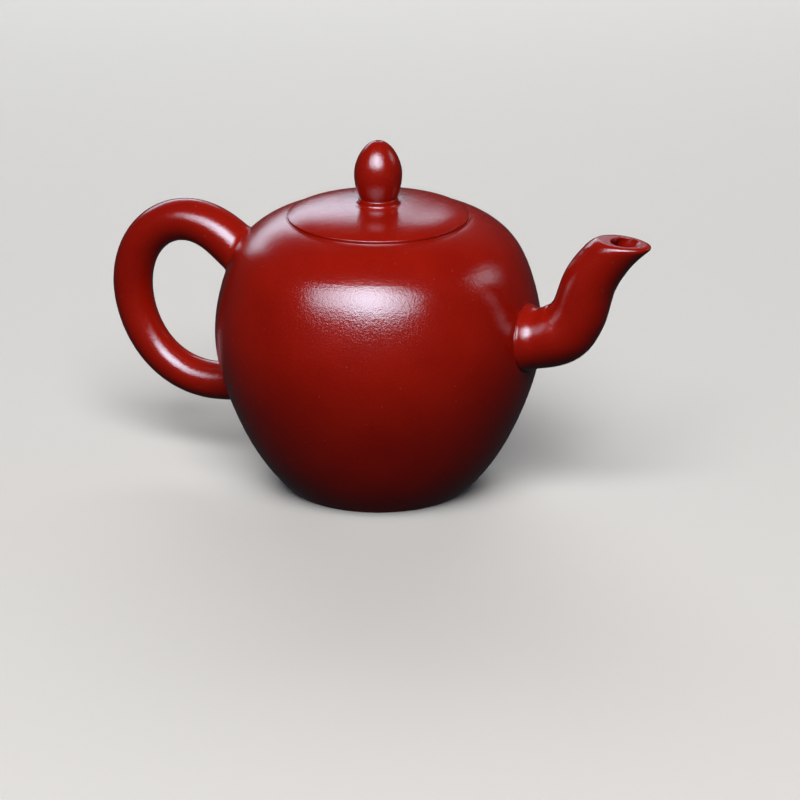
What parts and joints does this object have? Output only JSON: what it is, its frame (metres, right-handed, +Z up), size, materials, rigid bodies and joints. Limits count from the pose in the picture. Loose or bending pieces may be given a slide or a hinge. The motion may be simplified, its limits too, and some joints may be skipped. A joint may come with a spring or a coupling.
{
  "type": "teapot",
  "caption": "Small round red clay teapot with a curved spout, a round ear handle and a flush domed lid with an egg-shaped knob.",
  "frame": {"origin": "centre of the flat base ring, on the surface that the pot stands on", "axes": "+Z up along the pot's axis, +X from the axis towards the spout, -X towards the handle"},
  "size_m": [0.1383, 0.0788, 0.0859],
  "materials": {
    "red_clay": "fine unglazed red stoneware, burnished and waxed to a satin gloss"
  },
  "bodies": {
    "pot": {"base_disc": "red_clay", "body_wall": "red_clay", "shoulder_disc": "red_clay", "mouth_ring": "red_clay", "spout": "red_clay", "strainer": "red_clay", "handle": "red_clay"},
    "lid": {"lid_seat": "red_clay", "lid_dome": "red_clay", "lid_flange": "red_clay", "knob": "red_clay"}
  },
  "joints": [
    {"name": "lid_lift", "type": "slide", "parent": "pot", "child": "lid", "axis": [0, 0, 1], "range_m": [0, 0.05]}
  ]
}
